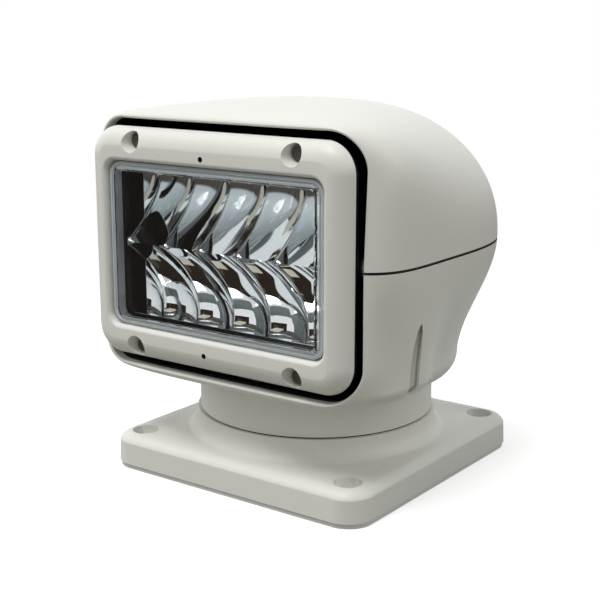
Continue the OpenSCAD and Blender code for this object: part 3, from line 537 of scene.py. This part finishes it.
places = [inset(*WINDOW, 0, LEDGE)]
for i in range(EDGE_STEPS + 1):
    turn = math.pi / 2 * i / EDGE_STEPS
    places.append(inset(*WINDOW, -EDGE_OUT * (1 - math.cos(turn)),
                        EDGE_FOOT + EDGE_UP * math.sin(turn)))
for i in range(DOME_STEPS + 1):
    turn = DOME_TURN * (1 - i / DOME_STEPS)
    places.append(inset(*BEZEL, DOME_IN * (1 - math.cos(turn)),
                        DOME_FOOT + DOME_UP * math.sin(turn)))
places += [inset(*BEZEL, FOOT_IN, BEZEL_FOOT), inset(*BEZEL, RING_IN, BEZEL_FOOT - UNDERCUT),
           inset(*BEZEL, RING_IN, BACK), inset(*WINDOW, -RING_WIDER, BACK),
           inset(*WINDOW, -RING_WIDER, LEDGE)]
bezel = rings("lamp_frame_bezel", 160, places)


def front_tool(x, z, near, far, radius, flare):
    """Round tool that cuts into the bezel's face."""
    bpy.ops.object.select_all(action="DESELECT")
    bpy.ops.mesh.primitive_cone_add(vertices=64, radius1=radius, radius2=radius + flare,
                                    depth=far - near, rotation=(math.pi / 2, 0, 0),
                                    location=(x, TILT_Y - (near + far) / 2, TILT_Z + z))
    bpy.ops.object.transform_apply(location=True, rotation=True)
    return bpy.context.object


SCREW_X, SCREW_Z = 0.055, 0.0582
PIN_HOLE_X, PIN_HOLE_ZS = -0.004, (0.0515, -0.0555)

paint(bezel, ivory, painted_shade)
for sx in (-1, 1):
    for sz in (-1, 1):
        carve(bezel, front_tool(sx * SCREW_X, sz * SCREW_Z, near=0.0207, far=0.0312,
                                radius=0.0043, flare=0.0025))
# Painted shade: the pin holes' walls take the near-black material, for the shade inside them.
for z in PIN_HOLE_ZS:
    pin_hole = front_tool(PIN_HOLE_X, z, near=0.022, far=0.032, radius=0.0015, flare=0)
    paint(pin_hole, painted_shade)
    carve(bezel, pin_hole, material_mode="TRANSFER")
smooth(bezel)
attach(bezel, "lamp")
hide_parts("lamp_frame")


# Bezel screws: four stainless pan heads with a cross recess, driven from the front. They sit at the
# bottom of the scoops, and their near-black colour is painted shade.

# Painted shade: the stainless heads are coloured near-black for the shade in the scoops.
screw_in_shade, shader, place = new_material("screw_painted_shade", Metallic=0.6)
grain = place.noise(scale=900.0, detail=3.0)
plug(shader, Base_Color=grain.colours((0.06, 0.057, 0.047, 1), (0.11, 0.106, 0.09, 1)),
     Roughness=grain * 0.2 + 0.5)
skin("frame_screws", "lamp", screw_in_shade)


# Reflector: a moulding coated with bright metal, two rows of five half-parabola cells.
# A light source sits at each cell's focus, and beads stand on the ribs between the cells.
# Thin bright plates close it at both ends, above and below.

FIELD, CELLS, HALF_HEIGHT, VERTEX, FOCUS = 0.130, 5, 0.042, -0.013, 0.0142
CELL = FIELD / CELLS
FIELD_END, FIELD_FRONT = 0.0665, 0.0195
RIB_IN, RIB_TOP, END_MARGIN, END_STEP = 0.001, 0.0004, 0.0002, 0.0015
BEAD_HALF, BEAD_SUNK, BEAD_HIGH = 0.0011, 0.0002, 0.0006


def parabola(aside, deep):
    """Depth in front of a cell's wall at a distance from its focus line."""
    return VERTEX + (aside * aside + deep * deep) / (4 * FOCUS)


def reflector_form(u, v):
    x = mix(-FIELD_END, FIELD_END, u)
    z = mix(-HALF_HEIGHT, HALF_HEIGHT, v)
    deep = HALF_HEIGHT - abs(z)
    number = min(CELLS - 1, max(0, math.floor(x / CELL + CELLS / 2)))
    aside = x - (number - (CELLS - 1) / 2) * CELL
    front, rib = parabola(aside, deep), parabola(CELL / 2 - RIB_IN, deep)
    to_rib = CELL / 2 - abs(aside)
    if abs(to_rib) < BEAD_HALF:
        bead = rib - BEAD_SUNK + BEAD_HIGH * math.sqrt(1 - (to_rib / BEAD_HALF) ** 2)
        front = max(min(front, rib), bead)
    front = min(front, rib + RIB_TOP, FIELD_FRONT)
    if abs(x) > FIELD / 2 + END_MARGIN:
        front = min(FIELD_FRONT, rib + END_STEP)
    return x, TILT_Y - front, TILT_Z + z


chrome, shader, place = new_material("bright_metal", Metallic=1.0)
haze = place.noise(scale=60.0, detail=3.0)
plug(shader, Base_Color=haze.colours((0.86, 0.88, 0.89, 1), (0.92, 0.94, 0.95, 1)),
     Roughness=haze * 0.03 + 0.02)
mirror = shaped_grid("reflector_cells", 300, 168, reflector_form)
smooth(mirror, 40)
dress(mirror, "lamp", chrome)
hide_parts("reflector")


def bright_plate(name, across, front, rise):
    """A flat plate of the reflector: its span in X, in depth in front of the axis and in Z."""
    bpy.ops.object.select_all(action="DESELECT")
    low = Vector((min(across), TILT_Y - max(front), TILT_Z + min(rise)))
    high = Vector((max(across), TILT_Y - min(front), TILT_Z + max(rise)))
    bpy.ops.mesh.primitive_cube_add(size=1, location=(low + high) / 2)
    plate = bpy.context.object
    plate.name = name
    plate.scale = high - low
    bpy.ops.object.transform_apply(location=True, scale=True)
    modify(plate, "BEVEL", width=0.0002, segments=2)
    smooth(plate)
    dress(plate, "lamp", chrome)


PLATE_BACK, END_IN, END_FRONT, END_HALF = -0.0135, 0.0655, 0.006, 0.0415
SHELF_FRONT, SHELF_LOW, SHELF_HIGH = 0.0165, 0.0414, 0.0418

for side, way in (("left", 1), ("right", -1)):
    bright_plate("reflector_end_" + side, (way * END_IN, way * FIELD_END),
                 (PLATE_BACK, END_FRONT), (-END_HALF, END_HALF))
for side, way in (("top", 1), ("bottom", -1)):
    bright_plate("reflector_shelf_" + side, (-END_IN, END_IN),
                 (PLATE_BACK, SHELF_FRONT), (way * SHELF_LOW, way * SHELF_HIGH))


# Window: a clear moulded pane with a grooved border, rounded edges and a wall that goes back
# to its gasket. The bezel holds it down.

clear, shader, place = new_material("clear_pane", Transmission_Weight=1.0, IOR=1.49)
smear = place.noise(scale=30.0)
plug(shader, Base_Color=smear.colours((0.97, 0.985, 0.985, 1), (1, 1, 1, 1)),
     Roughness=smear * 0.01)
border, shader, place = new_material("pane_border", Transmission_Weight=0.4, IOR=1.49)
smear = place.noise(scale=80.0)
plug(shader, Base_Color=smear.colours((0.74, 0.80, 0.84, 1), (0.86, 0.91, 0.94, 1)),
     Roughness=smear * 0.04 + 0.01)

PANE = (0.1478, 0.0928, 0.0085)
PANE_FACE, PANE_INSIDE, BORDER = 0.0284, 0.0239, 0.0043
# Distance in from the edge and depth in front: step, groove, rounded edge, wall, inside.
PANE_PROFILE = (
    (0.0056, PANE_FACE), (0.0050, 0.0283), (0.0047, 0.0280), (0.0045, 0.0272), (0.0042, 0.0270),
    (0.0031, 0.0270), (0.0029, 0.0268), (0.0027, 0.0263), (0.0023, 0.0263), (0.0021, 0.0268),
    (0.0019, 0.0270), (0.0012, 0.0270), (0.0005, 0.0267), (0.0001, 0.0261), (0, 0.0254),
    (0, 0.018), (0.003, 0.018), (0.003, 0.0232), (0.0036, PANE_INSIDE))
places = [(*PANE, 0, PANE_FACE)]
places += [inset(*PANE, by, front) for by, front in PANE_PROFILE]
places += [(*PANE, 0, PANE_INSIDE)]
pane = rings("lens_pane", 160, places, closed=False)
smooth(pane)
dress(pane, "lamp", clear, border)
for face in pane.data.polygons:
    from_side = PANE[0] / 2 - abs(face.center.x)
    from_top = PANE[1] / 2 - abs(face.center.z - TILT_Z)
    face.material_index = 1 if min(from_side, from_top) < BORDER else 0
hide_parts("lens")


# Lamp body, seals and gaskets: the body is a black anodised casting with cooling fins.
# The seals are black rubber, pressed between the pieces that they keep dry.

casting, shader, place = new_material("black_casting", Metallic=0.2)
grit = place.noise(scale=900.0, detail=3.0)
plug(shader, Base_Color=grit.colours((0.008, 0.008, 0.009, 1), (0.02, 0.02, 0.022, 1)),
     Roughness=grit * 0.2 + 0.45, Normal=grit.bump(strength=0.2, distance=0.0001))
skin("lamp_body", "lamp", casting)

rubber, shader, place = new_material("black_rubber")
grit = place.noise(scale=700.0)
plug(shader, Base_Color=grit.colours((0.010, 0.010, 0.011, 1), (0.022, 0.022, 0.024, 1)),
     Roughness=grit * 0.15 + 0.6)
for node, body in (("lens_gasket", "lamp"), ("housing_gasket", "head"), ("neck_seal", "base"),
                   ("cable_grommet", "base")):
    skin(node, body, rubber)


# Light sources and boards: pale phosphor squares on two boards behind the bright shelves,
# and the control board on its posts in the head. The squares are unlit, and their faint glow
# is painted light for the light that reaches them. The boards have a green solder mask.

solder_mask, shader, place = new_material("solder_mask")
weave = place.noise(scale=900.0)
plug(shader, Base_Color=weave.colours((0.02, 0.09, 0.045, 1), (0.03, 0.13, 0.06, 1)),
     Roughness=place.noise(scale=300.0) * 0.1 + 0.3)
# Painted light: the unlit phosphor squares glow faintly, standing in for the light that falls on
# them.
phosphor_with_painted_glow, shader, place = new_material("phosphor_with_painted_glow", Emission_Strength=0.3,
                                       Emission_Color=(1, 0.96, 0.84, 1))
powder = place.noise(scale=800.0)
plug(shader, Base_Color=powder.colours((0.78, 0.74, 0.58, 1), (0.85, 0.82, 0.68, 1)),
     Roughness=place.noise(scale=900.0) * 0.1 + 0.25)
skin("led_boards", "lamp", solder_mask)
skin("leds", "lamp", phosphor_with_painted_glow)
skin("control_board", "head", solder_mask)


# Drive and column inside the head: turned alloy, stainless fasteners and motor cans,
# white acetal bushes and gears, and the black slip-ring capsule. The post is screwed to the
# foot, and the head turns on it.

alloy, shader, place = new_material("turned_alloy", Metallic=1.0)
ring = place.stretched((300.0, 300.0, 2500.0)).noise(scale=1.0)
plug(shader, Base_Color=ring.colours((0.55, 0.56, 0.57, 1), (0.68, 0.69, 0.70, 1)),
     Roughness=ring * 0.15 + 0.28)
steel, shader, place = new_material("stainless", Metallic=1.0)
grain = place.stretched((900.0, 900.0, 60.0)).noise(scale=1.0, detail=3.0)
plug(shader, Base_Color=grain.colours((0.42, 0.42, 0.43, 1), (0.60, 0.60, 0.61, 1)),
     Roughness=grain * 0.2 + 0.22)
acetal, shader, place = new_material("white_acetal")
cloud = place.noise(scale=200.0)
plug(shader, Base_Color=cloud.colours((0.74, 0.74, 0.71, 1), (0.80, 0.80, 0.77, 1)),
     Roughness=place.noise(scale=500.0) * 0.1 + 0.35)
capsule = moulded_plastic("black_capsule", pale=(0.03, 0.03, 0.032, 1), deep=(0.02, 0.02, 0.021, 1),
                          roughness=0.45, grain=0.1)

for nodes, body, material in (
        ("pan_post", "base", alloy),
        ("turntable post_cap motor_bracket tilt_brackets", "head", alloy),
        ("base_cover_screws post_screws post_nut", "base", steel),
        ("turntable_screws cover_screws pan_motor board_posts tilt_motor", "head", steel),
        ("bracket_screws", "head", steel),
        ("pan_pinion", "pan_drive", steel),
        ("tilt_pinion", "tilt_drive", steel),
        ("trunnions sector_screws", "lamp", steel),
        ("pan_gear thrust_washer", "base", acetal),
        ("pan_bush tilt_bushes", "head", acetal),
        ("tilt_sector", "lamp", acetal),
        ("slip_ring_body", "base", capsule),
        ("slip_ring_rotor", "head", capsule)):
    for node in nodes.split():
        skin(node, body, material)


# Floor and surroundings: a white sheet that keeps the light's shadow, with a white studio
# round it. Grey and brown cards in front and a darker table give the bright metal something
# to mirror.

bpy.ops.object.select_all(action="DESELECT")
bpy.ops.mesh.primitive_plane_add(size=30.0, location=(0, 0, 0))
floor = bpy.context.object
floor.name = "floor"
paper, shader, place = new_material("white_paper", Roughness=0.9, Emission_Strength=0.5)
path = paper.node_tree.nodes.new("ShaderNodeLightPath")
seen = Wire(path.outputs["Is Camera Ray"])
mirrored = Wire(path.outputs["Is Glossy Ray"]) + Wire(path.outputs["Is Transmission Ray"])
reach = place.make("ShaderNodeVectorMath", {"operation": "LENGTH"}, {0: place}, out=1)
lit = (place.noise(scale=40.0) * 0.1).colours((0.20, 0.19, 0.155, 1), (0.22, 0.21, 0.17, 1))
table = reach.between(low=0.38, high=0.46).colours((0.50, 0.55, 0.57, 1), (0.035, 0.025, 0.018, 1))
plug(shader, Base_Color=seen.colours(mirrored.colours(lit, table), (0.8, 0.8, 0.8, 1)),
     Emission_Color=seen.colours((0, 0, 0, 1), (1, 1, 1, 1)),
     Alpha=1 - reach.between(low=0.2, high=0.6) * seen)
floor.data.materials.append(paper)

FILL_LIGHT = 0.45
world = bpy.data.worlds.new("studio")
bpy.context.scene.world = world
world.use_nodes = True
sky = world.node_tree.nodes["Background"]
path = world.node_tree.nodes.new("ShaderNodeLightPath")
seen = Wire(path.outputs["Is Camera Ray"])
for ray in ("Is Glossy Ray", "Is Transmission Ray"):
    seen = seen.math("MAXIMUM", seen, Wire(path.outputs[ray]))
plug(sky, Strength=seen * (1 - FILL_LIGHT) + FILL_LIGHT)
sky.inputs["Color"].default_value = (1, 1, 1, 1)


CARD_AIM, LIGHT_AIM = (0, 0, 0.15), (0, 0, 0.1)


def aimed(place, aim, axis):
    """Turn that points an object's axis from its place to an aim."""
    return (Vector(aim) - Vector(place)).to_track_quat(axis, "Y").to_euler()


def card(name, colour, place, width, height):
    """A card that only mirrors and glass see."""
    bpy.ops.object.select_all(action="DESELECT")
    bpy.ops.mesh.primitive_plane_add(size=1, location=place)
    sheet = bpy.context.object
    sheet.name = name
    sheet.scale = (width, height, 1)
    sheet.rotation_euler = aimed(place, CARD_AIM, "Z")
    bpy.ops.object.transform_apply(location=True, rotation=True, scale=True)
    material, shader, spot = new_material(name, Roughness=1.0, Specular_IOR_Level=0.0)
    darker = tuple(0.8 * c for c in colour)
    plug(shader, Base_Color=spot.noise(scale=3.0).colours((*darker, 1), (*colour, 1)))
    sheet.data.materials.append(material)
    sheet.visible_camera = False
    sheet.visible_diffuse = False
    sheet.visible_shadow = False


card("brown_card", (0.05, 0.03, 0.02), place=(0.3, -2.0, 0.25), width=2.2, height=0.9)
card("grey_card", (0.33, 0.38, 0.40), place=(-1.8, -1.0, 0.6), width=1.8, height=1.6)
card("high_card", (0.42, 0.48, 0.50), place=(-0.2, -1.7, 1.5), width=2.2, height=0.7)


def area_light(name, place, side, power):
    light = bpy.data.lights.new(name, "AREA")
    light.energy = power
    light.shape = "RECTANGLE"
    light.size, light.size_y = side, side
    holder = bpy.data.objects.new(name, light)
    holder.location = place
    holder.rotation_euler = aimed(place, LIGHT_AIM, "-Z")
    bpy.context.scene.collection.objects.link(holder)


area_light("key", place=(-0.2, -1.0, 2.2), side=1.0, power=31)
area_light("left", place=(-2.0, -0.6, 0.9), side=1.4, power=10.5)
area_light("right_back", place=(1.6, 0.9, 1.1), side=1.0, power=5.5)


# Camera at the photograph's place: from the front right and a little above. Its place, aim and
# lens come from a fit to the foot, its holes, the neck and the window.

CAMERA_PLACE = (0.4194, -0.5885, 0.2642)
CAMERA_AIM = (-0.00791, -0.00580, 0.09701)
eye = bpy.data.cameras.new("camera")
eye.sensor_width = 36.0
eye.lens = 73.81
holder = bpy.data.objects.new("camera", eye)
holder.location = CAMERA_PLACE
holder.rotation_euler = aimed(CAMERA_PLACE, CAMERA_AIM, "-Z")
bpy.context.scene.collection.objects.link(holder)
bpy.context.scene.camera = holder
bpy.context.scene.view_settings.view_transform = "Standard"
